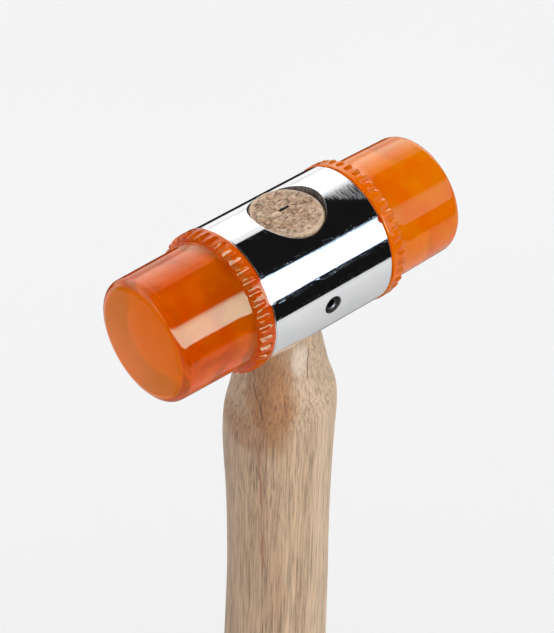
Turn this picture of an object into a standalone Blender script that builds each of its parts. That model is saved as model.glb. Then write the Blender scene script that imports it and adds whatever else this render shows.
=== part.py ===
"""Soft-face mallet: a chrome-plated tube head with two screw-in plastic faces on a turned wooden handle.

Metres, +Z up. The handle stands on its butt with its axis on Z, and the head's axis lies along X.
"""

import math

import bmesh
import bpy
from mathutils import Matrix

# Driving dimensions.
HEAD_HEIGHT = 0.285  # handle butt to the head's axis
GAP = 0.0003  # clearance between two pieces that touch

BODY_RADIUS = 0.020
BODY_LENGTH = 0.0419
BODY_CHAMFER = 0.0005
BORE_RADIUS = 0.015  # crest of the internal thread
BORE_LEAD = 0.0010  # lead chamfer at each mouth of the bore
EYE_RADIUS = 0.0105  # round hole for the tenon, through top and bottom

NOTCH_RADIUS = 0.00125
NOTCH_DEPTH = 0.0011  # in from the end
NOTCH_SINK = 0.0012  # down from the surface
NOTCH_ANGLE = math.radians(44)  # above the horizontal, on the -Y side of the +X end

FLANGE_RADIUS = 0.0203
FLANGE_THICKNESS = 0.0044
FLANGE_CHAMFER = 0.0003
CAP_ROOT_RADIUS = 0.01794
CAP_FACE_RADIUS = 0.01762
CAP_LENGTH = 0.0238  # from the flange to the striking face
CAP_ROUNDING = 0.0025
CORE_RADIUS = 0.0104  # moulded hollow behind the striking face
CORE_FACE_WALL = 0.0078
STUD_RADIUS = BORE_RADIUS - GAP
STUD_LENGTH = 0.0092
STUD_CHAMFER = 0.0008

FLUTE_COUNT = 40
FLUTE_RADIUS = 0.0015
FLUTE_DEPTH = 0.00095  # at the front edge of the flange
FLUTE_LENGTH = 0.0034  # to where the flute runs out of the rim

TENON_RADIUS = EYE_RADIUS - GAP
TENON_PROUD = 0.0182  # end of the tenon above the head's axis
TENON_CHAMFER = 0.0005
NECK_TOP = 0.0221  # depths below the head's axis
NECK_BOTTOM = 0.0473
NECK_BOTTOM_RADIUS = 0.0157
SHOULDER_DEPTH = 0.0545
SHOULDER_RADIUS = 0.0161
WAIST_DEPTH = 0.0960
WAIST_RADIUS = 0.01508
GRIP_DEPTH = 0.2050
GRIP_RADIUS = 0.0164
BUTT_RADIUS = 0.0146
BUTT_ROUNDING = 0.0035

SCREW_RADIUS = 0.00235  # M5
SCREW_LENGTH = 0.0100
SCREW_RECESS = 0.0007  # outer end below the body's surface
SCREW_X = -0.0007  # the tapped hole is drilled a little to one side
SCREW_Z = -0.0007  # and a little below the head's axis
SCREW_CHAMFER = 0.0004
SOCKET_ACROSS_FLATS = 0.0025
SOCKET_DEPTH = 0.0025
SCREW_HOLE_RADIUS = SCREW_RADIUS + GAP
COUNTERSINK_RADIUS = 0.00285

BODY_SEGMENTS = 72
FACE_SEGMENTS = 2 * FLUTE_COUNT
HANDLE_SEGMENTS = 48
SCREW_SEGMENTS = 24
EYE_SEGMENTS = 48
FLUTE_SEGMENTS = 8


def clear_scene():
    for obj in list(bpy.data.objects):
        bpy.data.objects.remove(obj, do_unlink=True)


def new_collection(name):
    collection = bpy.data.collections.new(name)
    bpy.context.scene.collection.children.link(collection)
    return collection


def new_material(name, colour, metallic, roughness, transmission=0.0):
    material = bpy.data.materials.new(name)
    material.use_nodes = True
    shader = material.node_tree.nodes["Principled BSDF"]
    shader.inputs["Base Color"].default_value = (*colour, 1.0)
    shader.inputs["Metallic"].default_value = metallic
    shader.inputs["Roughness"].default_value = roughness
    shader.inputs["Transmission Weight"].default_value = transmission
    material.diffuse_color = (*colour, 1.0)
    return material


def arc(radius, centre_r, centre_z, start, end, steps):
    """Points of a round stretch of a turned outline, from one angle to another, in degrees from +X."""
    points = []
    for step in range(steps + 1):
        angle = math.radians(start + (end - start) * step / steps)
        points.append((centre_r + radius * math.cos(angle), centre_z + radius * math.sin(angle)))
    return points


def swell(start, end, steps):
    """Points after start that ease to end, both (radius, z), with no slope at either end."""
    points = []
    for step in range(1, steps + 1):
        share = step / steps
        ease = share * share * (3 - 2 * share)
        radius = start[0] + (end[0] - start[0]) * ease
        points.append((radius, start[1] + (end[1] - start[1]) * share))
    return points


def turned(name, outline, segments, closed, material, collection):
    """A solid of revolution about its own Z: the outline (radius, z) runs down its outer side."""
    mesh = bpy.data.meshes.new(name)
    points = [(radius, 0.0, z) for radius, z in outline]
    edges = [(i, i + 1) for i in range(len(points) - 1)]
    if closed:
        edges.append((len(points) - 1, 0))
    mesh.from_pydata(points, edges, [])
    mesh.materials.append(material)
    obj = bpy.data.objects.new(name, mesh)
    collection.objects.link(obj)
    screw = obj.modifiers.new("Turn", "SCREW")
    screw.steps = segments
    screw.render_steps = segments
    screw.use_smooth_shade = True
    screw.use_merge_vertices = True
    screw.merge_threshold = 1e-6
    return obj


def new_cutter(name, mesh_builder, collection):
    """A hidden wire object whose mesh is filled by mesh_builder(bm)."""
    mesh = bpy.data.meshes.new(name)
    bm = bmesh.new()
    mesh_builder(bm)
    bm.to_mesh(mesh)
    bm.free()
    obj = bpy.data.objects.new(name, mesh)
    obj.hide_render = True
    obj.display_type = "WIRE"
    collection.objects.link(obj)
    return obj


def add_cone(bm, radius_low, radius_high, length, segments, matrix):
    """A cone or cylinder with its low end at the matrix's origin, running along the matrix's Z."""
    bmesh.ops.create_cone(
        bm,
        cap_ends=True,
        segments=segments,
        radius1=radius_low,
        radius2=radius_high,
        depth=length,
        matrix=matrix @ Matrix.Translation((0, 0, length / 2)),
    )


def cut(target, cutter):
    boolean = target.modifiers.new(cutter.name, "BOOLEAN")
    boolean.operation = "DIFFERENCE"
    boolean.solver = "EXACT"
    boolean.object = cutter


def head_place(x, y, z):
    """A place given from the head's centre."""
    return Matrix.Translation((x, y, HEAD_HEIGHT + z))


def screw_axis():
    """The grub screw's axis: from the middle of the head, with its own Z pointing out through the -Y side."""
    return head_place(SCREW_X, 0, SCREW_Z) @ Matrix.Rotation(math.radians(90), 4, "X")


def make_head_body(material, parts, cutters):
    half = BODY_LENGTH / 2
    outline = [
        (BODY_RADIUS - BODY_CHAMFER, half),
        (BODY_RADIUS, half - BODY_CHAMFER),
        (BODY_RADIUS, -half + BODY_CHAMFER),
        (BODY_RADIUS - BODY_CHAMFER, -half),
        (BORE_RADIUS + BORE_LEAD, -half),
        (BORE_RADIUS, -half + BORE_LEAD),
        (BORE_RADIUS, half - BORE_LEAD),
        (BORE_RADIUS + BORE_LEAD, half),
    ]
    body = turned("head_body", outline, BODY_SEGMENTS, True, material, parts)
    body.location = (0, 0, HEAD_HEIGHT)
    body.rotation_euler = (0, math.radians(90), 0)

    reach = 2 * BODY_RADIUS

    def eye(bm):
        add_cone(bm, EYE_RADIUS, EYE_RADIUS, 2 * reach, EYE_SEGMENTS, head_place(0, 0, -reach))

    def screw_hole(bm):
        add_cone(bm, SCREW_HOLE_RADIUS, SCREW_HOLE_RADIUS, reach, SCREW_SEGMENTS, screw_axis())

    def countersink(bm):
        flare = COUNTERSINK_RADIUS - SCREW_HOLE_RADIUS
        mouth = screw_axis() @ Matrix.Translation((0, 0, BODY_RADIUS - flare))
        add_cone(bm, SCREW_HOLE_RADIUS, COUNTERSINK_RADIUS + flare, 2 * flare, SCREW_SEGMENTS, mouth)

    def notch(bm):
        centre = head_place(half + NOTCH_RADIUS - NOTCH_DEPTH, 0, 0)
        outward = centre @ Matrix.Rotation(math.radians(90) - NOTCH_ANGLE, 4, "X")
        start = Matrix.Translation((0, 0, BODY_RADIUS - NOTCH_SINK))
        add_cone(bm, NOTCH_RADIUS, NOTCH_RADIUS, 2 * NOTCH_SINK, SCREW_SEGMENTS, outward @ start)

    for name, builder in (
        ("eye_cutter", eye),
        ("screw_hole_cutter", screw_hole),
        ("countersink_cutter", countersink),
        ("notch_cutter", notch),
    ):
        cut(body, new_cutter(name, builder, cutters))
    return body


def face_outline():
    """Outline of a face, from the middle of its striking face round to the bottom of its core."""
    face_z = FLANGE_THICKNESS + CAP_LENGTH
    corner = (CAP_FACE_RADIUS - CAP_ROUNDING, face_z - CAP_ROUNDING)
    core_z = face_z - CORE_FACE_WALL
    outline = [(0.0, face_z)]
    outline += arc(CAP_ROUNDING, *corner, 90, 0, 4)
    outline += [
        (CAP_ROOT_RADIUS, FLANGE_THICKNESS),
        (FLANGE_RADIUS - FLANGE_CHAMFER, FLANGE_THICKNESS),
        (FLANGE_RADIUS, FLANGE_THICKNESS - FLANGE_CHAMFER),
        (FLANGE_RADIUS, FLANGE_CHAMFER),
        (FLANGE_RADIUS - FLANGE_CHAMFER, 0.0),
        (STUD_RADIUS, 0.0),
        (STUD_RADIUS, STUD_CHAMFER - STUD_LENGTH),
        (STUD_RADIUS - STUD_CHAMFER, -STUD_LENGTH),
        (CORE_RADIUS, -STUD_LENGTH),
        (CORE_RADIUS, core_z),
        (0.0, core_z),
    ]
    return outline


def make_face(name, side, material, parts, cutters):
    """A face on the head's +X or -X end. Its origin is the middle of its seat, on its thread's axis."""
    face = turned(name, face_outline(), FACE_SEGMENTS, False, material, parts)
    seat = Matrix.Translation((side * (BODY_LENGTH / 2 + GAP), 0, HEAD_HEIGHT))
    outward = seat @ Matrix.Rotation(side * math.radians(90), 4, "Y")
    face.matrix_world = outward

    slope = math.atan2(FLUTE_DEPTH, FLUTE_LENGTH)
    past_front = 0.0015
    length = FLUTE_LENGTH + 2 * past_front

    def flutes(bm):
        bottom = FLANGE_RADIUS - FLUTE_DEPTH - past_front * math.tan(slope)
        start = Matrix.Translation((bottom + FLUTE_RADIUS, 0, FLANGE_THICKNESS + past_front))
        lean = Matrix.Rotation(math.radians(180) - slope, 4, "Y")
        for number in range(FLUTE_COUNT):
            turn = Matrix.Rotation(2 * math.pi * (number + 0.5) / FLUTE_COUNT, 4, "Z")
            place = turn @ start @ lean
            add_cone(bm, FLUTE_RADIUS, FLUTE_RADIUS, length, FLUTE_SEGMENTS, place)

    cutter = new_cutter(name + "_flute_cutter", flutes, cutters)
    cutter.matrix_world = outward
    cut(face, cutter)
    return face


def handle_outline():
    """Outline of the handle, from the middle of the tenon's end down to the middle of the butt."""
    top = HEAD_HEIGHT + TENON_PROUD
    neck_bottom = (NECK_BOTTOM_RADIUS, HEAD_HEIGHT - NECK_BOTTOM)
    shoulder = (SHOULDER_RADIUS, HEAD_HEIGHT - SHOULDER_DEPTH)
    waist = (WAIST_RADIUS, HEAD_HEIGHT - WAIST_DEPTH)
    grip = (GRIP_RADIUS, HEAD_HEIGHT - GRIP_DEPTH)
    butt = (BUTT_RADIUS, BUTT_ROUNDING)
    outline = [
        (0.0, top),
        (TENON_RADIUS - TENON_CHAMFER, top),
        (TENON_RADIUS, top - TENON_CHAMFER),
        (TENON_RADIUS, HEAD_HEIGHT - NECK_TOP),
        neck_bottom,
    ]
    outline += crest(neck_bottom, shoulder)
    outline += swell(shoulder, waist, 6)
    outline += swell(waist, grip, 6)
    outline += swell(grip, butt, 4)
    outline += arc(BUTT_ROUNDING, BUTT_RADIUS - BUTT_ROUNDING, BUTT_ROUNDING, 0, -90, 4)[1:]
    outline.append((0.0, 0.0))
    return outline


def crest(start, end):
    """Points after start that rise to end along a quarter of an ellipse, flat at the end."""
    points = []
    steps = 4
    for step in range(1, steps + 1):
        angle = math.radians(90 * step / steps)
        radius = start[0] + (end[0] - start[0]) * math.sin(angle)
        z = end[1] + (start[1] - end[1]) * (1 - step / steps)
        points.append((radius, z))
    return points


def make_handle(material, parts, cutters):
    handle = turned("handle", handle_outline(), HANDLE_SEGMENTS, False, material, parts)

    def dimple(bm):
        point_y = BODY_RADIUS - SCREW_RECESS - SCREW_LENGTH - GAP * math.sqrt(2)
        depth = TENON_RADIUS - point_y + GAP
        place = screw_axis() @ Matrix.Translation((0, 0, point_y))
        add_cone(bm, 0.0, depth, depth, SCREW_SEGMENTS, place)

    cut(handle, new_cutter("dimple_cutter", dimple, cutters))
    return handle


def make_grub_screw(material, parts, cutters):
    """The screw, with its origin on its axis at its outer end and its own +Z pointing out of the head."""
    outline = [
        (0.0, 0.0),
        (SCREW_RADIUS - SCREW_CHAMFER, 0.0),
        (SCREW_RADIUS, -SCREW_CHAMFER),
        (SCREW_RADIUS, SCREW_RADIUS - SCREW_LENGTH),
        (0.0, -SCREW_LENGTH),
    ]
    screw = turned("grub_screw", outline, SCREW_SEGMENTS, False, material, parts)
    outward = screw_axis() @ Matrix.Translation((0, 0, BODY_RADIUS - SCREW_RECESS))
    screw.matrix_world = outward

    def socket(bm):
        corner_radius = SOCKET_ACROSS_FLATS / math.sqrt(3)
        place = Matrix.Translation((0, 0, -SOCKET_DEPTH))
        add_cone(bm, corner_radius, corner_radius, 2 * SOCKET_DEPTH, 6, place)

    cutter = new_cutter("socket_cutter", socket, cutters)
    cutter.matrix_world = outward
    cut(screw, cutter)
    return screw


def build():
    clear_scene()
    parts = new_collection("soft_face_mallet")
    cutters = new_collection("cutters")
    chrome = new_material("chrome", (0.86, 0.87, 0.88), 1.0, 0.05)
    amber = new_material("amber_plastic", (0.90, 0.30, 0.01), 0.0, 0.08, 0.8)
    wood = new_material("wood", (0.58, 0.42, 0.28), 0.0, 0.65)
    black_steel = new_material("black_steel", (0.04, 0.04, 0.04), 1.0, 0.35)

    make_head_body(chrome, parts, cutters)
    make_face("near_face", -1, amber, parts, cutters)
    make_face("far_face", 1, amber, parts, cutters)
    make_handle(wood, parts, cutters)
    make_grub_screw(black_steel, parts, cutters)


build()
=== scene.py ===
"""Soft-face mallet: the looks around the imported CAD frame. Metres, +Z up, the head's axis along X."""

import math

import bmesh
import bpy
import numpy as np
from mathutils import Matrix, Vector, noise as field


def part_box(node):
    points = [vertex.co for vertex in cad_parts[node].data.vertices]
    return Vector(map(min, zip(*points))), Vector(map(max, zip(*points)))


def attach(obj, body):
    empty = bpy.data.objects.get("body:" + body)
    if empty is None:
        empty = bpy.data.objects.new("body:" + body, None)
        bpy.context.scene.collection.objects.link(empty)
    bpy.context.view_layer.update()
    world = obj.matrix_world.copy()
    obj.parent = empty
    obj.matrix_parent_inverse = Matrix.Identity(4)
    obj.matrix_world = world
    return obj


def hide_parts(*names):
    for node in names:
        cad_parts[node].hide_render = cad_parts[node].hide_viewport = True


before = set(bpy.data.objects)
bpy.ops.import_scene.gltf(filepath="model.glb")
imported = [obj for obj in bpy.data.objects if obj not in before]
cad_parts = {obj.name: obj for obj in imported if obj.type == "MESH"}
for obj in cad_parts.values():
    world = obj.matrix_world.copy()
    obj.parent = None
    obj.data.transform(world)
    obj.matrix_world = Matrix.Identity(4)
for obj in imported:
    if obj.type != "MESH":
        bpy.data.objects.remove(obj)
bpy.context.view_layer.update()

# Sizes from the frame.
BODY_LOW, BODY_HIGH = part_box("head_body")
HEAD = (BODY_LOW + BODY_HIGH) / 2
BODY_RADIUS = (BODY_HIGH.z - BODY_LOW.z) / 2
BODY_HALF = (BODY_HIGH.x - BODY_LOW.x) / 2
FACE_LOW, FACE_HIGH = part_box("far_face")
FLANGE_RADIUS = (FACE_HIGH.z - FACE_LOW.z) / 2
GAP = 0.0003  # clearance between pieces that touch
SEAT = BODY_HALF + GAP  # where a face's flange sits, from the head's centre
FACE_LENGTH = FACE_HIGH.x - SEAT
STUD_LENGTH = SEAT - FACE_LOW.x
HANDLE_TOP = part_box("handle")[1].z
SCREW_LOW, SCREW_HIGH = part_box("grub_screw")
SCREW_AXIS = (SCREW_LOW + SCREW_HIGH) / 2

# Head body.
BORE_RADIUS = 0.015
BODY_EDGE = 0.00045
EYE_RADIUS = 0.0105
EYE_EDGE = 0.00022
HOLE_RADIUS = 0.00265
COUNTERSINK_RADIUS = 0.00283
NOTCH_RADIUS = 0.00125
NOTCH_DEPTH = 0.0011
NOTCH_SINK = 0.0012
NOTCH_ANGLE = math.radians(44)
BORE_THREAD_DEPTH = 0.0008
FACE_THREAD_PITCH = 0.002

# Faces.
FLANGE_THICKNESS = 0.0044
FLANGE_TAPER = 0.0003
CAP_ROOT_RADIUS = 0.01794
CAP_FACE_RADIUS = 0.01762
CAP_ROUNDING = 0.0025
CORE_RADIUS = 0.0104
CORE_FACE_WALL = 0.0078
STUD_RADIUS = 0.0147
STUD_THREAD_DEPTH = 0.0010
STUD_ROOT = STUD_RADIUS - STUD_THREAD_DEPTH
CAP_FILLET = 0.0003  # between the cap and the flange
FLUTE_COUNT = 40
FLUTE_BACK = 0.0009  # plain rim behind the flutes
FLUTE_END = 0.0008  # length of a flute's rounded back end
FLUTE_HALF_WIDTHS = (0.00085, 0.00125)  # at the back and at the front of the flange
FLUTE_DEPTHS = (0.0005, 0.0010)

# Handle, as depths below the head's axis and radii.
TENON_RADIUS = 0.0102
TENON_EDGE = 0.0005
HANDLE_PROFILE = (
    (0.0221, 0.01020),
    (0.0300, 0.01190),
    (0.0412, 0.01440),
    (0.0470, 0.01570),
    (0.0500, 0.01597),
    (0.0550, 0.01608),
    (0.0620, 0.01592),
    (0.0700, 0.01566),
    (0.0800, 0.01534),
    (0.0950, 0.01510),
    (0.1100, 0.01510),
    (0.1280, 0.01533),
    (0.1600, 0.01590),
    (0.2050, 0.01640),
    (0.2450, 0.01590),
    (0.2815, 0.01460),
)
BUTT_RADIUS = 0.0146
BUTT_ROUNDING = 0.0035
LEAN_DEPTHS = (0.035, 0.053, 0.060, 0.070, 0.080, 0.090, 0.100, 0.110, 0.120, 0.200)
# To the photo's right.
LEANS = (0.0, -0.00032, -0.00045, -0.00038, -0.0002, 0.0, 0.00015, 0.00032, 0.00041, 0.0)
SHOULDER_SLOPE = 0.0032  # how much higher the shoulder is on its right side than in its middle
RIM_WIDTH = 0.0011  # plain turned rim of the tenon's end
END_GRAIN_DEPTH = 0.0010
SLOT_SIZE = (0.0036, 0.0009, 0.0080)  # cut by the lathe's drive centre
SLOT_CENTRE = (0.0005, 0.0017)

# Level directions across and out of the handle's front side, as the camera sees it.
ACROSS = Vector((0.7364, -0.6765, 0))
FRONT = Vector((-0.6765, -0.7364, 0))

# Grub screw.
SCREW_RADIUS = 0.00235
SCREW_PITCH = 0.0008
SOCKET_ACROSS_FLATS = 0.0025
SOCKET_DEPTH = 0.0025

# Segments round each turned mesh.
BODY_SEGMENTS = 256
FACE_SEGMENTS = FLUTE_COUNT * 12
HANDLE_SEGMENTS = 160
SCREW_SEGMENTS = 48
EYE_SEGMENTS = 96

# The studio that mirror reflections see, in degrees about the head's axis, from the front over the top.
STRIP_COLOUR = (11.0, 13.5, 17.5)
STRIP_EDGE = (6.8, 8.4)
STRIP_FADE = (30.0, 50.0)
STRIP_FALL = ((0.25, 1.0), (0.475, 0.85), (0.575, 0.70), (0.68, 0.50), (0.795, 0.08), (0.86, 0.0))
STRIP_SIDE = (0.49, 0.535)  # where the strip dims, as a share of the direction along X
STRIP_SIDE_LIGHT = 0.15
SWEEP_LIGHT = 2.8
SWEEP_EDGE = (114.4, 116.4)
SWEEP_SPAN = (110.0, 180.0)
SWEEP_RISE = ((0.0, 0.31), (0.2, 0.34), (0.33, 0.75), (0.57, 1.0), (0.8, 1.0), (0.94, 0.3))
LOW_EDGE = (-160.0, -165.0)
LOW_LIGHT = 0.3
DARK_CARD_LIGHT = 0.007
PLAIN_LIGHT = (1.12, 1.12, 1.13)

# The floor, and the card that mirror reflections see in its place, in metres along Y.
FLOOR_REACH = 8.0
TABLE_EDGE = -0.640
TABLE_DROP = -0.001
TABLE_BANDS_FROM = -0.7
TABLE_BANDS_TO = 1.8
TABLE_BANDS = (
    (-0.64, 0.68),
    (-0.5, 0.80),
    (-0.2, 0.68),
    (0.06, 0.55),
    (0.2, 0.01),
    (0.85, 0.01),
    (1.05, 1.0),
)
TABLE_PATCH_SLANT = 2.7
TABLE_PATCH_LIGHT = 1.2

# Plate and wear.
PLATE_TONES = ((0.3, (0.86, 0.87, 0.88)), (0.7, (0.94, 0.94, 0.95)))
WEAR_START = 97.0  # degrees, at the head's middle
WEAR_SLOPE = 1550.0  # degrees per metre along the head
WEAR_RAGGED = -7.0
WEAR_HAZE = 0.42
# Bare steel of the cut walls, partly real colour and partly painted shade: the darkest tone stands in for
# the shade in the recesses.
HOLE_WALL_AND_SHADE_TONES = ((0.3, (0.02, 0.014, 0.011)), (0.55, (0.12, 0.092, 0.075)), (0.75, (0.30, 0.25, 0.21)))
OXIDE_TONES = ((0.3, (0.03, 0.028, 0.025)), (0.7, (0.10, 0.09, 0.08)))

# Amber: deep and light colour, and the share of light that it scatters.
NEAR_AMBER = ((0.84, 0.135, 0.0), (0.93, 0.20, 0.0), 0.38)
FAR_AMBER = ((1.0, 0.25, 0.0), (1.0, 0.35, 0.0), 0.42)
SCUFFED_AMBER = (0.93, 0.235, 0.002)
SCUFFED_HAZE = 0.50
SCUFFED_ROUGHNESS = 0.08
AMBER_IOR = 1.40
AMBER_GLINT = (0.72, 0.96, 0.55, 1.0)
AMBER_DEPTH_COLOUR = (0.97, 0.50, 0.02, 1.0)
AMBER_DENSITY = 60.0

# Wood.
WOOD_TONES = (
    (0.26, (0.42, 0.25, 0.14)),
    (0.45, (0.53, 0.345, 0.20)),
    (0.6, (0.60, 0.405, 0.25)),
    (0.80, (0.67, 0.49, 0.33)),
)
FIBRE_TONES = ((0.36, 0.30), (0.50, 0.88), (0.64, 1.12))
# Painted shade for the handle's left side, as the camera sees it.
PAINTED_SHADE_SIDE = (0.32, 0.215, 0.14)
# Painted light for the handle's right side, as the camera sees it.
PAINTED_LIT_SIDE = (0.72, 0.53, 0.35)
STAIN_TINT = (0.66, 0.44, 0.25)
PALE_BLOT_COLOUR = (0.78, 0.64, 0.50)
PORE_COLOUR = (0.17, 0.09, 0.045)
CRACK_COLOUR = (0.09, 0.032, 0.010)
VEIN_COLOUR = (0.28, 0.12, 0.06)
END_TONES = (
    (0.32, (0.30, 0.155, 0.075)),
    (0.44, (0.50, 0.33, 0.21)),
    (0.58, (0.60, 0.43, 0.30)),
    (0.75, (0.52, 0.42, 0.29)),
)
TORN_TONES = ((0.37, 0.22), (0.46, 0.82), (0.60, 1.25))
# Painted shade for the end grain's hollows and the lathe slot.
HOLLOW_PAINTED_SHADE = (0.006, 0.002, 0.001)
RIM_COLOUR = (0.62, 0.48, 0.36)

# Marks on the handle's front, in metres across it and down from the head's axis.
STREAK_WANDER = 0.0022
CRACKS = (  # middle, half width, upper end, lower end, lean
    (-0.0072, 0.00030, 0.0325, 0.0400, 0.10),
    (-0.0062, 0.00034, 0.0375, 0.0450, 0.12),
    (0.0072, 0.00020, 0.0215, 0.0330, 0.02),
    (0.0012, 0.00014, 0.0350, 0.0420, 0.0),
)
VEIN = (-0.0060, 0.00045, 0.0520, 0.1040, 0.045)
STAIN = ((-0.0025, 0.0375), (0.0056, 0.0150))  # centre, half size
LOW_STAIN = ((-0.0085, 0.0500), (0.0075, 0.0050))
PALE_BLOT = ((0.0048, 0.0255), (0.0020, 0.0040))

# Camera, from the head's centre.
CAMERA_AZIMUTH = math.radians(-42.571)
CAMERA_ELEVATION = math.radians(40.832)
CAMERA_ROLL = math.radians(1.552)
CAMERA_DISTANCE = 0.6395
CAMERA_LENS = 135.4
HEAD_RIGHT_OF_AXIS = 0.00214
HEAD_ABOVE_AXIS = 0.01378


# ---------------------------------------------------------------- mesh helpers


def straight(start, end, step):
    """Points from start to end, both (radius, z), no further apart than step, without the first."""
    count = max(1, math.ceil(math.dist(start, end) / step))
    start, end = np.array(start), np.array(end)
    return [tuple(start + (end - start) * i / count) for i in range(1, count + 1)]


def arc(radius, centre, start, end, steps):
    """Points of a round stretch, from one angle to another, in degrees from +radius."""
    points = []
    for step in range(steps + 1):
        angle = math.radians(start + (end - start) * step / steps)
        points.append((centre[0] + radius * math.cos(angle), centre[1] + radius * math.sin(angle)))
    return points


def revolve(name, rows, segments, bend=None, closed=False):
    """A turned mesh about Z.

    The rows (radius, z) run down the outer side, and bend(radius, z, angle) may move them.
    """
    rows = np.array(rows, float)
    angles = 2 * math.pi * np.arange(segments) / segments
    radius = np.repeat(rows[:, :1], segments, 1)
    height = np.repeat(rows[:, 1:2], segments, 1)
    turn = np.repeat(angles[None, :], len(rows), 0)
    if bend:
        radius, height = bend(radius, height, turn)
    points = np.stack([radius * np.cos(turn), radius * np.sin(turn), height], -1)
    index = np.arange(len(rows) * segments).reshape(len(rows), segments)
    poles = rows[:, 0] < 1e-9
    index[poles] = index[poles][:, :1]
    faces = []
    pairs = [(i, i + 1) for i in range(len(rows) - 1)]
    if closed:
        pairs.append((len(rows) - 1, 0))
    for above, below in pairs:
        a, b = index[above], index[below]
        quads = np.stack([a, b, np.roll(b, -1), np.roll(a, -1)], 1)
        if poles[above]:
            quads = quads[:, :3]
        elif poles[below]:
            quads = quads[:, [0, 1, 3]]
        faces += quads.tolist()
    mesh = bpy.data.meshes.new(name)
    mesh.from_pydata(points.reshape(-1, 3).tolist(), [], faces)
    tidy = bmesh.new()
    tidy.from_mesh(mesh)
    bmesh.ops.delete(tidy, geom=[v for v in tidy.verts if not v.link_faces], context="VERTS")
    tidy.to_mesh(mesh)
    tidy.free()
    return mesh


def new_object(name, mesh, place=None):
    obj = bpy.data.objects.new(name, mesh)
    bpy.context.scene.collection.objects.link(obj)
    if place is not None:
        mesh.transform(place)
    return obj


def cone(name, radius_low, radius_high, length, segments, place):
    mesh = bpy.data.meshes.new(name)
    bm = bmesh.new()
    bmesh.ops.create_cone(
        bm,
        cap_ends=True,
        segments=segments,
        radius1=radius_low,
        radius2=radius_high,
        depth=length,
        matrix=Matrix.Translation((0, 0, length / 2)),
    )
    bm.to_mesh(mesh)
    bm.free()
    return new_object(name, mesh, place)


def cut(obj, cutters):
    """Takes the cutters out of obj for good."""
    for cutter in cutters:
        boolean = obj.modifiers.new(cutter.name, "BOOLEAN")
        boolean.operation = "DIFFERENCE"
        boolean.solver = "EXACT"
        boolean.object = cutter
    graph = bpy.context.evaluated_depsgraph_get()
    done = bpy.data.meshes.new_from_object(obj.evaluated_get(graph))
    obj.modifiers.clear()
    obj.data = done
    for cutter in cutters:
        bpy.data.objects.remove(cutter)


def shade(obj, angle, materials):
    """Smooth shading with sharp edges over that angle, and the materials."""
    mesh = obj.data
    mesh.materials.clear()
    for material in materials:
        mesh.materials.append(material)
    mesh.shade_smooth()
    mesh.set_sharp_from_angle(angle=math.radians(angle))


def thread_wave(phase):
    """0 at a thread's crest to 1 at its root, with small flats on both."""
    ramp = np.abs((phase % 1.0) * 2 - 1)
    return np.clip((ramp - 0.15) / 0.6, 0, 1)


def fade(value, start, end):
    share = np.clip((value - start) / (end - start), 0, 1)
    return share * share * (3 - 2 * share)


# ---------------------------------------------------------------- node helpers


def add(tree, kind, inputs=None, **settings):
    """A node with its settings, and its inputs given as values or as sockets to link."""
    node = tree.nodes.new(kind)
    for key, value in settings.items():
        setattr(node, key, value)
    for key, value in (inputs or {}).items():
        if isinstance(value, bpy.types.NodeSocket):
            tree.links.new(value, node.inputs[key])
        else:
            node.inputs[key].default_value = value
    return node


def calc(tree, operation, a, b=0.0, clamp=False):
    return add(tree, "ShaderNodeMath", {0: a, 1: b}, operation=operation, use_clamp=clamp).outputs[0]


def product(tree, *factors):
    result = factors[0]
    for factor in factors[1:]:
        result = calc(tree, "MULTIPLY", result, factor)
    return result


def greatest(tree, *values):
    result = values[0]
    for value in values[1:]:
        result = calc(tree, "MAXIMUM", result, value)
    return result


def parts_of(tree, vector):
    """The X, Y and Z of a vector."""
    return add(tree, "ShaderNodeSeparateXYZ", {0: vector}).outputs


def reach_along(tree, vector, direction):
    """How far a vector reaches in a direction."""
    node = add(tree, "ShaderNodeVectorMath", {0: vector, 1: direction}, operation="DOT_PRODUCT")
    return node.outputs["Value"]


def ramp(tree, value, stops):
    """A colour ramp with stops of (position, grey or colour)."""
    node = add(tree, "ShaderNodeValToRGB", {0: value})
    band = node.color_ramp
    while len(band.elements) < len(stops):
        band.elements.new(0.5)
    for element, (position, colour) in zip(band.elements, stops):
        element.position = position
        shown = (colour, colour, colour) if isinstance(colour, (int, float)) else colour
        element.color = (*shown, 1.0)
    return node.outputs[0]


def mix(tree, factor, a, b, blend="MIX"):
    node = add(tree, "ShaderNodeMix", {0: factor}, data_type="RGBA", blend_type=blend)
    for socket, value in ((node.inputs[6], a), (node.inputs[7], b)):
        if isinstance(value, bpy.types.NodeSocket):
            tree.links.new(value, socket)
        else:
            socket.default_value = (*value, 1.0)
    return node.outputs[2]


def stretched(tree, scale, turn=(0, 0, 0)):
    """Object coordinates, turned and then scaled to cells per metre."""
    coords = add(tree, "ShaderNodeTexCoord").outputs["Object"]
    turned = add(tree, "ShaderNodeMapping", {"Vector": coords, "Rotation": turn})
    return add(tree, "ShaderNodeMapping", {"Vector": turned.outputs[0], "Scale": scale}).outputs[0]


def noise(tree, vector, detail, roughness=0.5, distortion=0.0):
    node = add(
        tree,
        "ShaderNodeTexNoise",
        {"Vector": vector, "Scale": 1.0, "Detail": detail, "Roughness": roughness, "Distortion": distortion},
    )
    return node.outputs["Fac"]


def new_material(name):
    material = bpy.data.materials.new(name)
    material.use_nodes = True
    tree = material.node_tree
    return material, tree, tree.nodes["Principled BSDF"]


def join(tree, source, shader, socket):
    tree.links.new(source, shader.inputs[socket])


def bump(tree, height, distance, normal=None):
    inputs = {"Height": height, "Distance": distance, "Strength": 1.0}
    if normal is not None:
        inputs["Normal"] = normal
    return add(tree, "ShaderNodeBump", inputs).outputs[0]


# ---------------------------------------------------------------- materials


def edge(tree, value, start, end):
    """0 below start, 1 above end."""
    return add(tree, "ShaderNodeMapRange", {"Value": value, "From Min": start, "From Max": end}).outputs[0]


def within(tree, value, low, high, blur):
    """1 between low and high, fading to 0 over blur outside."""
    return product(tree, edge(tree, value, low - blur, low), edge(tree, value, high + blur, high))


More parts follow.
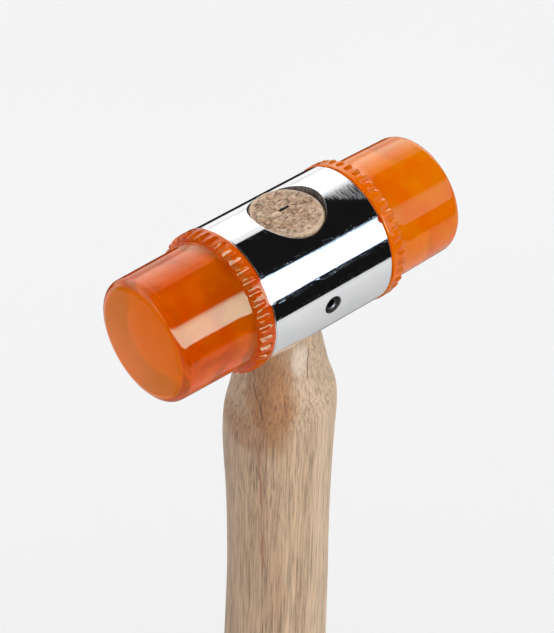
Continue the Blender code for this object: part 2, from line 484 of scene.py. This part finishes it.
def around_head(tree):
    """X along the head, and the angle about its axis in degrees: 0 at the front (-Y), 90 at the top."""
    x, y, z = parts_of(tree, stretched(tree, (1, 1, 1)))
    turn = calc(tree, "ARCTAN2", calc(tree, "SUBTRACT", z, HEAD.z), product(tree, y, -1.0))
    return x, product(tree, turn, math.degrees(1))


def worn_patch(tree):
    """Fine scratches round the far end of the tube's upper side, as a share of full wear."""
    x, angle = around_head(tree)
    hairs = noise(tree, stretched(tree, (5200, 260, 260)), 2.0, 0.7)
    start = calc(tree, "SUBTRACT", WEAR_START, product(tree, x, WEAR_SLOPE))
    ragged_start = calc(tree, "ADD", start, product(tree, hairs, WEAR_RAGGED))
    past_start = edge(tree, calc(tree, "SUBTRACT", angle, ragged_start), -1.0, 2.5)
    before_end = edge(tree, angle, 116.0, 98.0)
    near_far_end = edge(tree, x, 0.008, 0.013)
    return product(tree, past_start, before_end, near_far_end, edge(tree, hairs, 0.30, 0.62))


def chrome_material():
    material, tree, shader = new_material("chrome_plate")
    grime = noise(tree, stretched(tree, (90, 160, 160)), 4.0, 0.6)
    join(tree, ramp(tree, grime, PLATE_TONES), shader, "Base Color")
    shader.inputs["Metallic"].default_value = 1.0
    haze = noise(tree, stretched(tree, (900, 900, 900)), 3.0)
    polish = ramp(tree, haze, [(0.35, 0.015), (0.7, 0.05)])
    wear = product(tree, worn_patch(tree), WEAR_HAZE)
    join(tree, calc(tree, "ADD", polish, wear), shader, "Roughness")
    grain = noise(tree, stretched(tree, (5200, 5200, 5200)), 1.0)
    specks = noise(tree, stretched(tree, (3100, 3100, 3100)), 1.0)
    pits = ramp(tree, specks, [(0.68, 0.0), (0.78, 1.0)])
    grained = bump(tree, grain, 0.0000009)
    join(tree, bump(tree, pits, 0.0000055, normal=grained), shader, "Normal")
    return material


def rough_steel_and_shade_material():
    """The unplated walls of the eye, the tapped hole and the notch: bare steel, darkened towards near black
    with painted shade.
    """
    material, tree, shader = new_material("bare_hole_wall_and_shade")
    broach = noise(tree, stretched(tree, (2600, 2600, 160)), 3.0, 0.7)
    # Bare steel tones, darkened towards near black as painted shade.
    join(tree, ramp(tree, broach, HOLE_WALL_AND_SHADE_TONES), shader, "Base Color")
    shader.inputs["Metallic"].default_value = 0.6
    join(tree, ramp(tree, broach, [(0.3, 0.75), (0.7, 0.5)]), shader, "Roughness")
    join(tree, bump(tree, broach, 0.0001), shader, "Normal")
    return material


def amber_material(name, deep, light, haze, clouded=None):
    """Amber plastic between a deep and a light colour. Haze is the share of light that it scatters.

    Clouded is the x below which it scatters more, on a striking face scuffed by blows.
    """
    material, tree, shader = new_material(name)
    cloud = noise(tree, stretched(tree, (120, 120, 120)), 2.0)
    colour = ramp(tree, cloud, [(0.40, deep), (0.62, light)])
    smear = noise(tree, stretched(tree, (150, 300, 300)), 3.0)
    rough = ramp(tree, smear, [(0.3, 0.02), (0.75, 0.07)])
    if clouded is None:
        shader.inputs["Transmission Weight"].default_value = 1.0 - haze
    else:
        x = parts_of(tree, stretched(tree, (1, 1, 1)))[0]
        scuffed = edge(tree, x, clouded + 0.0004, clouded)
        colour = mix(tree, scuffed, colour, SCUFFED_AMBER)
        rough = calc(tree, "ADD", rough, product(tree, scuffed, SCUFFED_ROUGHNESS))
        clear = calc(tree, "SUBTRACT", 1.0 - haze, product(tree, scuffed, SCUFFED_HAZE - haze))
        join(tree, clear, shader, "Transmission Weight")
    join(tree, colour, shader, "Base Color")
    join(tree, rough, shader, "Roughness")
    shader.inputs["IOR"].default_value = AMBER_IOR
    shader.inputs["Specular Tint"].default_value = AMBER_GLINT
    ripple = noise(tree, stretched(tree, (60, 90, 90)), 1.0)
    join(tree, bump(tree, ripple, 0.00003), shader, "Normal")
    absorb = add(tree, "ShaderNodeVolumeAbsorption")
    absorb.inputs["Color"].default_value = AMBER_DEPTH_COLOUR
    absorb.inputs["Density"].default_value = AMBER_DENSITY
    tree.links.new(absorb.outputs[0], tree.nodes["Material Output"].inputs["Volume"])
    return material


def streak(tree, across, depth, middle, half_width, start, end, lean):
    """A wandering line down the handle's front, between two depths and leaning by a share of its length."""
    wander = noise(tree, stretched(tree, (40, 40, 130)), 2.0)
    offset = middle - STREAK_WANDER / 2 - lean * start
    line_at = calc(tree, "ADD", product(tree, wander, STREAK_WANDER), offset)
    line_at = calc(tree, "ADD", line_at, product(tree, depth, lean))
    away = calc(tree, "ABSOLUTE", calc(tree, "SUBTRACT", across, line_at))
    line = edge(tree, away, half_width, half_width * 0.4)
    return product(tree, line, within(tree, depth, start + 0.002, end - 0.002, 0.002))


def blot(tree, across, depth, centre, size, ragged):
    """A blot on the handle's front, with its centre and half size as (across, depth) in metres."""
    u = calc(tree, "DIVIDE", calc(tree, "SUBTRACT", across, centre[0]), size[0])
    v = calc(tree, "DIVIDE", calc(tree, "SUBTRACT", depth, centre[1]), size[1])
    away = calc(tree, "ADD", product(tree, u, u), product(tree, v, v))
    return edge(tree, calc(tree, "ADD", away, product(tree, ragged, 1.8)), 2.9, 1.5)


def wood_material():
    material, tree, shader = new_material("turned_hardwood")
    place = stretched(tree, (1, 1, 1))
    across = reach_along(tree, place, ACROSS)
    depth = calc(tree, "SUBTRACT", HEAD.z, parts_of(tree, place)[2])
    facing = edge(tree, reach_along(tree, place, FRONT), 0.0, 0.003)

    broad = noise(tree, stretched(tree, (190, 190, 14)), 3.0, 0.5, 0.5)
    colour = ramp(tree, broad, WOOD_TONES)
    # Painted shade: the handle's left side is darkened.
    painted_shade_side = product(tree, edge(tree, across, 0.004, -0.015), 0.7)
    colour = mix(tree, painted_shade_side, colour, PAINTED_SHADE_SIDE)
    # Painted light: the handle's right side is made paler.
    painted_lit_side = product(tree, edge(tree, across, 0.001, 0.012), 0.5)
    colour = mix(tree, painted_lit_side, colour, PAINTED_LIT_SIDE)
    fibres = noise(tree, stretched(tree, (2300, 2300, 42)), 4.0, 0.66, 0.35)
    colour = mix(tree, 0.75, colour, ramp(tree, fibres, FIBRE_TONES), "MULTIPLY")

    ragged = noise(tree, stretched(tree, (260, 260, 120)), 3.0)
    low_stain = product(tree, 0.6, blot(tree, across, depth, *LOW_STAIN, ragged))
    stain = greatest(tree, blot(tree, across, depth, *STAIN, ragged), low_stain)
    colour = mix(tree, product(tree, stain, facing), colour, STAIN_TINT, "MULTIPLY")
    pale = blot(tree, across, depth, *PALE_BLOT, ragged)
    colour = mix(tree, product(tree, pale, facing, 0.5), colour, PALE_BLOT_COLOUR)

    pores = noise(tree, stretched(tree, (3400, 3400, 80)), 1.0)
    pore_mask = product(tree, ramp(tree, pores, [(0.63, 0.0), (0.70, 1.0)]), edge(tree, broad, 0.66, 0.40))
    colour = mix(tree, product(tree, pore_mask, 0.62), colour, PORE_COLOUR)
    cracks = greatest(tree, *[streak(tree, across, depth, *crack) for crack in CRACKS])
    cracks = product(tree, cracks, facing, ramp(tree, fibres, [(0.40, 1.0), (0.7, 0.55)]))
    colour = mix(tree, cracks, colour, CRACK_COLOUR)
    vein = streak(tree, across, depth, *VEIN)
    vein = product(tree, vein, facing, ramp(tree, ragged, [(0.3, 0.45), (0.6, 1.0)]))
    colour = mix(tree, vein, colour, VEIN_COLOUR)

    join(tree, colour, shader, "Base Color")
    join(tree, ramp(tree, fibres, [(0.3, 0.66), (0.8, 0.50)]), shader, "Roughness")
    relief = calc(tree, "SUBTRACT", product(tree, fibres, 0.7), greatest(tree, pore_mask, cracks))
    join(tree, bump(tree, relief, 0.00016), shader, "Normal")
    return material


def end_grain_material():
    """The torn end of the tenon, with painted shade darkening its hollows and the lathe slot, and a paler
    turned rim.
    """
    material, tree, shader = new_material("end_grain")
    x, y, height = parts_of(tree, stretched(tree, (1, 1, 1)))
    level = stretched(tree, (1, 1, 0))
    out = add(tree, "ShaderNodeVectorMath", {0: level}, operation="LENGTH").outputs["Value"]
    mottle = noise(tree, stretched(tree, (260, 420, 0), turn=(0, 0, 0.25)), 3.0, 0.6, 1.0)
    fibre = noise(tree, stretched(tree, (650, 1500, 0), turn=(0, 0, 0.25)), 3.0, 0.7, 0.8)
    torn = ramp(tree, fibre, TORN_TONES)
    colour = mix(tree, 1.0, ramp(tree, mottle, END_TONES), torn, "MULTIPLY")
    # Painted shade, near black, in the lowest hollows of the torn end and in the lathe slot.
    hollow = edge(tree, height, HANDLE_TOP - 0.0009, HANDLE_TOP - 0.0016)
    half_length, half_width = SLOT_SIZE[0] / 2, SLOT_SIZE[1] / 2
    lengthwise = within(tree, x, SLOT_CENTRE[0] - half_length, SLOT_CENTRE[0] + half_length, 0.00006)
    crosswise = within(tree, y, SLOT_CENTRE[1] - half_width, SLOT_CENTRE[1] + half_width, 0.00006)
    hollow = greatest(tree, hollow, product(tree, lengthwise, crosswise))
    colour = mix(tree, hollow, colour, HOLLOW_PAINTED_SHADE)
    rim = edge(tree, out, TENON_RADIUS - 0.0011, TENON_RADIUS - 0.0005)
    join(tree, mix(tree, rim, colour, RIM_COLOUR), shader, "Base Color")
    shader.inputs["Roughness"].default_value = 0.8
    join(tree, bump(tree, calc(tree, "ADD", mottle, fibre), 0.0003), shader, "Normal")
    return material


def black_steel_material():
    material, tree, shader = new_material("black_oxide")
    patina = noise(tree, stretched(tree, (1800, 1800, 1800)), 3.0)
    join(tree, ramp(tree, patina, OXIDE_TONES), shader, "Base Color")
    shader.inputs["Metallic"].default_value = 1.0
    join(tree, ramp(tree, patina, [(0.3, 0.28), (0.7, 0.42)]), shader, "Roughness")
    return material


def floor_material():
    material, tree, shader = new_material("pale_floor")
    soft = noise(tree, stretched(tree, (3, 3, 3)), 2.0)
    join(tree, ramp(tree, soft, [(0.3, 0.80), (0.7, 0.82)]), shader, "Base Color")
    shader.inputs["Roughness"].default_value = 0.9
    shader.inputs["Specular IOR Level"].default_value = 0.1
    return material


# ---------------------------------------------------------------- pieces


def face_rows():
    """The rows of a face, out from the middle of its striking face and round to the bottom of its core."""
    top = FACE_LENGTH
    corner = (CAP_FACE_RADIUS - CAP_ROUNDING, top - CAP_ROUNDING)
    rows = [(0.0, top)]
    rows += straight((0.0, top), (corner[0] - 0.0002, top), 0.003)
    rows += arc(CAP_ROUNDING, corner, 90, 0, 14)
    rows += straight(rows[-1], (CAP_ROOT_RADIUS, FLANGE_THICKNESS + CAP_FILLET), 0.004)
    rows += [(CAP_ROOT_RADIUS + 0.0001, FLANGE_THICKNESS + 0.0001)]
    rows += [(CAP_ROOT_RADIUS + CAP_FILLET, FLANGE_THICKNESS)]
    rim = FLANGE_RADIUS - FLANGE_TAPER
    rows += straight(rows[-1], (rim - 0.0001, FLANGE_THICKNESS), 0.0005)
    rows += [(rim, FLANGE_THICKNESS - 0.00008)]
    rows += straight(rows[-1], (FLANGE_RADIUS, FLANGE_THICKNESS - 0.0012), 0.0003)
    rows += straight(rows[-1], (FLANGE_RADIUS, 0.00015), 0.00016)
    rows += [(FLANGE_RADIUS - 0.00015, 0.0)]
    rows += straight(rows[-1], (STUD_ROOT, 0.0), 0.003)
    rows += straight(rows[-1], (STUD_ROOT, -0.0008), 0.0004)
    rows += straight(rows[-1], (STUD_ROOT, -STUD_LENGTH + 0.0003), 0.00016)
    rows += [(STUD_ROOT - 0.0003, -STUD_LENGTH)]
    rows += [(CORE_RADIUS + 0.0003, -STUD_LENGTH), (CORE_RADIUS, -STUD_LENGTH + 0.0003)]
    core = FACE_LENGTH - CORE_FACE_WALL
    rows += straight(rows[-1], (CORE_RADIUS, core - 0.0012), 0.004)
    rows += arc(0.0010, (CORE_RADIUS - 0.0010, core - 0.0010), 0, 90, 6)
    rows += straight(rows[-1], (0.0, core), 0.003)
    return rows


def flute_depth(height, turn):
    """How deep the flutes are at that height of the flange and angle."""
    pitch = 2 * math.pi * FLANGE_RADIUS / FLUTE_COUNT
    across = np.abs((turn * FLUTE_COUNT / (2 * math.pi)) % 1.0 - 0.5) * pitch
    along = np.clip((height - FLUTE_BACK) / (FLANGE_THICKNESS - FLUTE_BACK), 0, 1)
    opening = np.clip((height - FLUTE_BACK) / FLUTE_END, 0, 1)
    round_end = np.sqrt(1 - (1 - opening) ** 2)
    half_width = round_end * (FLUTE_HALF_WIDTHS[0] * (1 - along) + FLUTE_HALF_WIDTHS[1] * along) + 1e-9
    depth = round_end * (FLUTE_DEPTHS[0] * (1 - along) + FLUTE_DEPTHS[1] * along)
    return depth * np.clip(1 - (across / half_width) ** 2, 0, 1)


def face_bend(radius, height, turn):
    """Cuts the flutes into the flange's rim and the thread into the stud."""
    in_rim = (height >= -1e-9) & (height < FLANGE_THICKNESS + 1e-6)
    on_flange = in_rim & (radius > CAP_ROOT_RADIUS + 1e-5)
    rim = FLANGE_RADIUS - flute_depth(height, turn) * on_flange
    squeeze = (rim - CAP_ROOT_RADIUS) / (FLANGE_RADIUS - CAP_ROOT_RADIUS)
    fluted = CAP_ROOT_RADIUS + (radius - CAP_ROOT_RADIUS) * squeeze
    radius = np.where(on_flange, fluted, radius)
    on_stud = (height < -0.0007) & (radius > STUD_ROOT - 1e-6)
    crest = 1 - thread_wave(height / FACE_THREAD_PITCH - turn / (2 * math.pi))
    ends = fade(-height, 0.0008, 0.0018) * fade(height, -STUD_LENGTH, -STUD_LENGTH + 0.0012)
    return radius + on_stud * STUD_THREAD_DEPTH * crest * ends, height


def make_face(name, side, material):
    seat = Matrix.Translation(HEAD + Vector((side * SEAT, 0, 0)))
    place = seat @ Matrix.Rotation(side * math.radians(90), 4, "Y")
    face = new_object(name + "_moulding", revolve(name, face_rows(), FACE_SEGMENTS, face_bend), place)
    shade(face, 35, [material])
    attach(face, name)
    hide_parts(name)


def eye_cutter():
    """A round bar through the head, flared a little where it comes out of the tube's surface."""
    reach = 0.03
    rows = [(0.0, reach), (0.004, reach), (0.012, reach), (EYE_RADIUS + EYE_EDGE + 0.0004, 1.0)]
    flare = arc(EYE_EDGE, (EYE_RADIUS + EYE_EDGE, 0.0), 90, 180, 4)
    rows += [(r, 1.0 + z - EYE_EDGE) for r, z in flare]
    rows += [(EYE_RADIUS, 0.010), (EYE_RADIUS, -0.010)]
    rows += [(r, -z) for r, z in rows[-3:2:-1]]
    rows += [(0.012, -reach), (0.004, -reach), (0.0, -reach)]

    def bend(radius, height, turn):
        surface = np.sqrt(BODY_RADIUS**2 - (np.clip(radius, 0, 0.012) * np.sin(turn)) ** 2)
        near_top, near_low = height > 0.5, height < -0.5
        height = np.where(near_top, height - 1.0 + surface, height)
        return radius, np.where(near_low, height + 1.0 - surface, height)

    mesh = revolve("eye_cutter", rows, EYE_SEGMENTS, bend)
    return new_object("eye_cutter", mesh, Matrix.Translation(HEAD))


def body_rows():
    half = BODY_HALF
    outer = arc(BODY_EDGE, (BODY_RADIUS - BODY_EDGE, half - BODY_EDGE), 90, 0, 5)
    rows = outer + straight(outer[-1], (BODY_RADIUS, 0.0), 0.003)
    rows += [(r, -z) for r, z in rows[-2::-1]]
    rows += [(BORE_RADIUS + 0.0009, -half), (BORE_RADIUS, -half + 0.0009)]
    rows += straight(rows[-1], (BORE_RADIUS, half - 0.0009), 0.0002)
    rows += [(BORE_RADIUS + 0.0009, half)]
    return rows


def body_bend(radius, height, turn):
    """Cuts the internal thread at each end of the bore."""
    in_bore = np.abs(radius - BORE_RADIUS) < 1e-6
    depth = thread_wave(height / FACE_THREAD_PITCH - turn / (2 * math.pi))
    from_end = BODY_HALF - np.abs(height)
    ends = 1 - fade(from_end, STUD_LENGTH, STUD_LENGTH + 0.0012)
    return radius + in_bore * depth * ends * BORE_THREAD_DEPTH, height


def exact_round_normals(obj):
    """Sets the shading of the tube's outer surface to that of a true cylinder."""
    mesh = obj.data
    points = np.zeros(len(mesh.vertices) * 3, np.float32)
    mesh.vertices.foreach_get("co", points)
    points = points.reshape(-1, 3) - np.array(HEAD, np.float32)
    out = np.hypot(points[:, 1], points[:, 2])
    normals = np.zeros(len(mesh.loops) * 3, np.float32)
    mesh.corner_normals.foreach_get("vector", normals)
    normals = normals.reshape(-1, 3)
    for face in mesh.polygons:
        corners = list(face.vertices)
        if min(out[corners]) < BODY_RADIUS - 1e-5:
            continue
        for loop in face.loop_indices:
            point = points[mesh.loops[loop].vertex_index]
            normals[loop] = (0.0, point[1] / BODY_RADIUS, point[2] / BODY_RADIUS)
    mesh.normals_split_custom_set([tuple(map(float, n)) for n in normals])


def screw_place(along):
    """A place on the grub screw's axis, that far from the head's centre, with Z pointing out of the head."""
    middle = Matrix.Translation((SCREW_AXIS.x, HEAD.y - along, SCREW_AXIS.z))
    return middle @ Matrix.Rotation(math.radians(90), 4, "X")


def mark_hole_walls(mesh):
    """Gives the second material, bare steel with painted shade, to the walls that were cut through the tube.
    """
    for face in mesh.polygons:
        middle = face.center - HEAD
        out = math.hypot(middle.y, middle.z)
        in_wall = BORE_RADIUS + 0.0001 < out < BODY_RADIUS * 0.9995
        on_end = abs(middle.x) > BODY_HALF - BODY_EDGE and abs(face.normal.x) > 0.3
        if in_wall and not on_end and abs(face.normal.x) < 0.9999:
            face.material_index = 1


def make_head_body(plate, hole_wall_and_shade):
    place = Matrix.Translation(HEAD) @ Matrix.Rotation(math.radians(90), 4, "Y")
    mesh = revolve("head_tube", body_rows(), BODY_SEGMENTS, body_bend, closed=True)
    body = new_object("head_tube", mesh, place)
    flare = COUNTERSINK_RADIUS - HOLE_RADIUS
    hole = cone("hole_cutter", HOLE_RADIUS, HOLE_RADIUS, 0.03, 48, screw_place(0.0))
    sink_place = screw_place(BODY_RADIUS - flare)
    sink = cone("sink_cutter", HOLE_RADIUS, HOLE_RADIUS + 2 * flare, 2 * flare, 48, sink_place)
    notch_place = (
        Matrix.Translation(HEAD + Vector((BODY_HALF + NOTCH_RADIUS - NOTCH_DEPTH, 0, 0)))
        @ Matrix.Rotation(math.radians(90) - NOTCH_ANGLE, 4, "X")
        @ Matrix.Translation((0, 0, BODY_RADIUS - NOTCH_SINK))
    )
    notch = cone("notch_cutter", NOTCH_RADIUS, NOTCH_RADIUS, 2 * NOTCH_SINK, 32, notch_place)
    cut(body, [eye_cutter(), hole, sink, notch])
    shade(body, 30, [plate, hole_wall_and_shade])
    mark_hole_walls(body.data)
    exact_round_normals(body)
    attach(body, "root")
    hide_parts("head_body")


def handle_rows():
    top = HANDLE_TOP
    rows = [(0.0, top)]
    rows += straight(rows[0], (TENON_RADIUS - TENON_EDGE, top), 0.00022)
    rows += straight(rows[-1], (TENON_RADIUS, top - TENON_EDGE), 0.0003)
    rows += straight(rows[-1], (TENON_RADIUS, HEAD.z - HANDLE_PROFILE[0][0]), 0.0006)
    depths, radii = zip(*HANDLE_PROFILE)
    for depth in np.arange(depths[0] + 0.001, depths[-1], 0.00125):
        rows.append((smooth_profile(depth, depths, radii), HEAD.z - depth))
    rows += arc(BUTT_ROUNDING, (BUTT_RADIUS - BUTT_ROUNDING, BUTT_ROUNDING), 0, -90, 10)
    rows += straight(rows[-1], (0.0, 0.0), 0.003)
    return rows


def smooth_profile(depth, depths, radii):
    """A monotone smooth curve through the profile's points."""
    i = int(np.clip(np.searchsorted(depths, depth) - 1, 0, len(depths) - 2))
    step = depths[i + 1] - depths[i]
    slopes = np.gradient(np.array(radii), np.array(depths))
    t = (depth - depths[i]) / step
    h00, h10 = 2 * t**3 - 3 * t**2 + 1, t**3 - 2 * t**2 + t
    h01, h11 = -2 * t**3 + 3 * t**2, t**3 - t**2
    return h00 * radii[i] + h10 * step * slopes[i] + h01 * radii[i + 1] + h11 * step * slopes[i + 1]


def handle_bend(radius, height, turn):
    """Leans the handle and slopes its shoulder by the little that the turning is off."""
    towards_right = np.cos(turn - math.atan2(ACROSS.y, ACROSS.x))
    depth = HEAD.z - height
    lean = np.interp(depth, LEAN_DEPTHS, LEANS)
    slope = SHOULDER_SLOPE * fade(depth, 0.034, 0.046) * fade(depth, 0.082, 0.060)
    return radius + lean * towards_right * (radius > 0.005), height + slope * towards_right


def roughen_end_grain(mesh):
    """Torn, fibrous relief over the sawn end of the tenon, inside a plain rim."""
    rim = TENON_RADIUS - TENON_EDGE
    for vertex in mesh.vertices:
        if vertex.co.z < HANDLE_TOP - 1e-6:
            continue
        out = math.hypot(vertex.co.x, vertex.co.y)
        share = 1 - float(fade(out, rim - RIM_WIDTH, rim - 0.0002))
        spot = Vector((vertex.co.x * 260, vertex.co.y * 780, 0.7))
        lump = field.fractal(spot, 0.8, 2.0, 4)
        vertex.co.z += share * END_GRAIN_DEPTH * (float(np.clip(lump, -0.6, 0.6)) - 0.3)


def dimple_cutter():
    """The hollow that the grub screw's point presses into the tenon."""
    point = HEAD.y - SCREW_HIGH.y - GAP * math.sqrt(2)
    depth = TENON_RADIUS - point + GAP
    return cone("dimple_cutter", 0.0, depth, depth, 32, screw_place(point))


def slot_cutter():
    mesh = bpy.data.meshes.new("slot_cutter")
    bm = bmesh.new()
    place = Matrix.Translation((*SLOT_CENTRE, HANDLE_TOP))
    bmesh.ops.create_cube(bm, size=1.0, matrix=place @ Matrix.Diagonal((*SLOT_SIZE, 1.0)))
    bm.to_mesh(mesh)
    bm.free()
    return new_object("slot_cutter", mesh)


def make_handle(side_material, end_material):
    mesh = revolve("handle", handle_rows(), HANDLE_SEGMENTS, handle_bend)
    roughen_end_grain(mesh)
    handle = new_object("turned_handle", mesh)
    cut(handle, [dimple_cutter(), slot_cutter()])
    shade(handle, 40, [side_material, end_material])
    for face in handle.data.polygons:
        inside = math.hypot(face.center.x, face.center.y) < TENON_RADIUS - TENON_EDGE
        if face.center.z > HANDLE_TOP - 0.006 and inside:
            face.material_index = 1
    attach(handle, "root")
    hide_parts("handle")


def make_grub_screw(material):
    length = SCREW_HIGH.y - SCREW_LOW.y
    rows = [(0.0, 0.0), (0.0012, 0.0), (SCREW_RADIUS - 0.0005, 0.0), (SCREW_RADIUS - 0.0001, -0.0004)]
    rows += straight(rows[-1], (SCREW_RADIUS - 0.0001, SCREW_RADIUS - length), 0.0001)
    rows += straight(rows[-1], (0.0, -length), 0.0006)

    def bend(radius, height, turn):
        on_side = np.abs(radius - SCREW_RADIUS + 0.0001) < 1e-6
        wave = thread_wave(height / SCREW_PITCH - turn / (2 * math.pi))
        return radius + on_side * (0.0001 - 0.0004 * wave), height

    outer_end = HEAD.y - SCREW_LOW.y
    mesh = revolve("hex_grub_screw", rows, SCREW_SEGMENTS, bend)
    screw = new_object("hex_grub_screw", mesh, screw_place(outer_end))
    corner = SOCKET_ACROSS_FLATS / math.sqrt(3)
    bore = screw_place(outer_end) @ Matrix.Translation((0, 0, -SOCKET_DEPTH))
    mouth = screw_place(outer_end - 0.0003)
    chamfer = cone("chamfer_cutter", corner - 0.0001, corner + 0.0005, 0.0006, 32, mouth)
    cut(screw, [cone("socket_cutter", corner, corner, 2 * SOCKET_DEPTH, 6, bore), chamfer])
    shade(screw, 35, [material])
    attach(screw, "grub_screw")
    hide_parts("grub_screw")


# ---------------------------------------------------------------- stage, light and camera


def make_floor(material):
    """A pale floor. Mirror reflections see a card in its place, which ends in front as a table top would."""
    floor = flat_sheet("floor", -FLOOR_REACH, 0.0, material)
    floor.visible_glossy = False
    card = flat_sheet("mirrored_table", TABLE_EDGE, TABLE_DROP, mirrored_table_material())
    for setting in ("camera", "diffuse", "transmission", "volume_scatter", "shadow"):
        setattr(card, "visible_" + setting, False)


def flat_sheet(name, front, z, material):
    """A level stage sheet, from y = front to the floor's far end and across its full width."""
    reach = FLOOR_REACH
    mesh = bpy.data.meshes.new(name)
    corners = [(-reach, front, z), (reach, front, z), (reach, reach, z), (-reach, reach, z)]
    mesh.from_pydata(corners, [], [(0, 1, 2, 3)])
    mesh.materials.append(material)
    sheet = new_object(name, mesh)
    return sheet


def mirrored_table_material():
    """What polished surfaces see of the table: light in front, dark behind the mallet, white far off."""
    material, tree, shader = new_material("mirrored_table")
    x, y, z = parts_of(tree, add(tree, "ShaderNodeTexCoord").outputs["Object"])
    slant = calc(tree, "ADD", y, product(tree, x, TABLE_PATCH_SLANT))
    slant_band = product(tree, edge(tree, slant, -0.440, -0.370), edge(tree, slant, 0.4, 0.2))
    patch = product(tree, slant_band, edge(tree, y, 0.12, 0.18), TABLE_PATCH_LIGHT)
    share = edge(tree, y, TABLE_BANDS_FROM, TABLE_BANDS_TO)
    span = TABLE_BANDS_TO - TABLE_BANDS_FROM
    bands = [((metres - TABLE_BANDS_FROM) / span, light) for metres, light in TABLE_BANDS]
    shader.inputs["Base Color"].default_value = (0.0, 0.0, 0.0, 1.0)
    shader.inputs["Specular IOR Level"].default_value = 0.0
    join(tree, calc(tree, "ADD", ramp(tree, share, bands), patch), shader, "Emission Color")
    shader.inputs["Emission Strength"].default_value = 1.0
    return material


def make_world():
    """Plain soft light all round. Mirror reflections see a softbox strip, dark cards and a bright sweep."""
    world = bpy.data.worlds.new("studio")
    bpy.context.scene.world = world
    world.use_nodes = True
    tree = world.node_tree
    background = tree.nodes["Background"]
    x, y, z = parts_of(tree, add(tree, "ShaderNodeTexCoord").outputs["Generated"])
    degrees = product(tree, calc(tree, "ARCTAN2", z, product(tree, y, -1.0)), math.degrees(1))
    fall = ramp(tree, edge(tree, degrees, *STRIP_FADE), STRIP_FALL)
    strip = product(tree, edge(tree, degrees, *STRIP_EDGE), fall)
    side = ramp(tree, edge(tree, x, *STRIP_SIDE), [(0.0, 1.0), (1.0, STRIP_SIDE_LIGHT)])
    strip = product(tree, strip, side)
    rise = ramp(tree, edge(tree, degrees, *SWEEP_SPAN), SWEEP_RISE)
    low = product(tree, edge(tree, degrees, *LOW_EDGE), LOW_LIGHT)
    sweep = calc(tree, "ADD", product(tree, rise, edge(tree, degrees, *SWEEP_EDGE)), low)
    sweep = calc(tree, "ADD", product(tree, sweep, SWEEP_LIGHT), DARK_CARD_LIGHT)
    studio = mix(tree, 1.0, mix(tree, strip, (0.0, 0.0, 0.0), STRIP_COLOUR), sweep, "ADD")
    rays = add(tree, "ShaderNodeLightPath").outputs
    mirrored = calc(tree, "SUBTRACT", rays["Is Glossy Ray"], rays["Is Transmission Ray"], clamp=True)
    tree.links.new(mix(tree, mirrored, PLAIN_LIGHT, studio), background.inputs["Color"])
    background.inputs["Strength"].default_value = 1.0


def make_camera():
    back = Vector(
        (
            math.sin(CAMERA_AZIMUTH) * math.cos(CAMERA_ELEVATION),
            -math.cos(CAMERA_AZIMUTH) * math.cos(CAMERA_ELEVATION),
            math.sin(CAMERA_ELEVATION),
        )
    )
    level_right = Vector((math.cos(CAMERA_AZIMUTH), math.sin(CAMERA_AZIMUTH), 0))
    level_up = back.cross(level_right)
    right = math.cos(CAMERA_ROLL) * level_right + math.sin(CAMERA_ROLL) * level_up
    up = back.cross(right)
    data = bpy.data.cameras.new("camera")
    data.lens = CAMERA_LENS
    data.sensor_width = 36.0
    data.clip_start = 0.01
    data.clip_end = 50.0
    camera = bpy.data.objects.new("camera", data)
    bpy.context.scene.collection.objects.link(camera)
    place = HEAD - HEAD_RIGHT_OF_AXIS * right - HEAD_ABOVE_AXIS * up + CAMERA_DISTANCE * back
    camera.matrix_world = Matrix(
        (
            (right.x, up.x, back.x, place.x),
            (right.y, up.y, back.y, place.y),
            (right.z, up.z, back.z, place.z),
            (0, 0, 0, 1),
        )
    )
    bpy.context.scene.camera = camera


def build():
    make_head_body(chrome_material(), rough_steel_and_shade_material())
    striking = HEAD.x - SEAT - FACE_LENGTH
    make_face("near_face", -1, amber_material("amber_near", *NEAR_AMBER, clouded=striking))
    make_face("far_face", 1, amber_material("amber_far", *FAR_AMBER))
    make_handle(wood_material(), end_grain_material())
    make_grub_screw(black_steel_material())
    make_floor(floor_material())
    make_world()
    make_camera()
    bpy.context.scene.view_settings.view_transform = "Standard"


build()
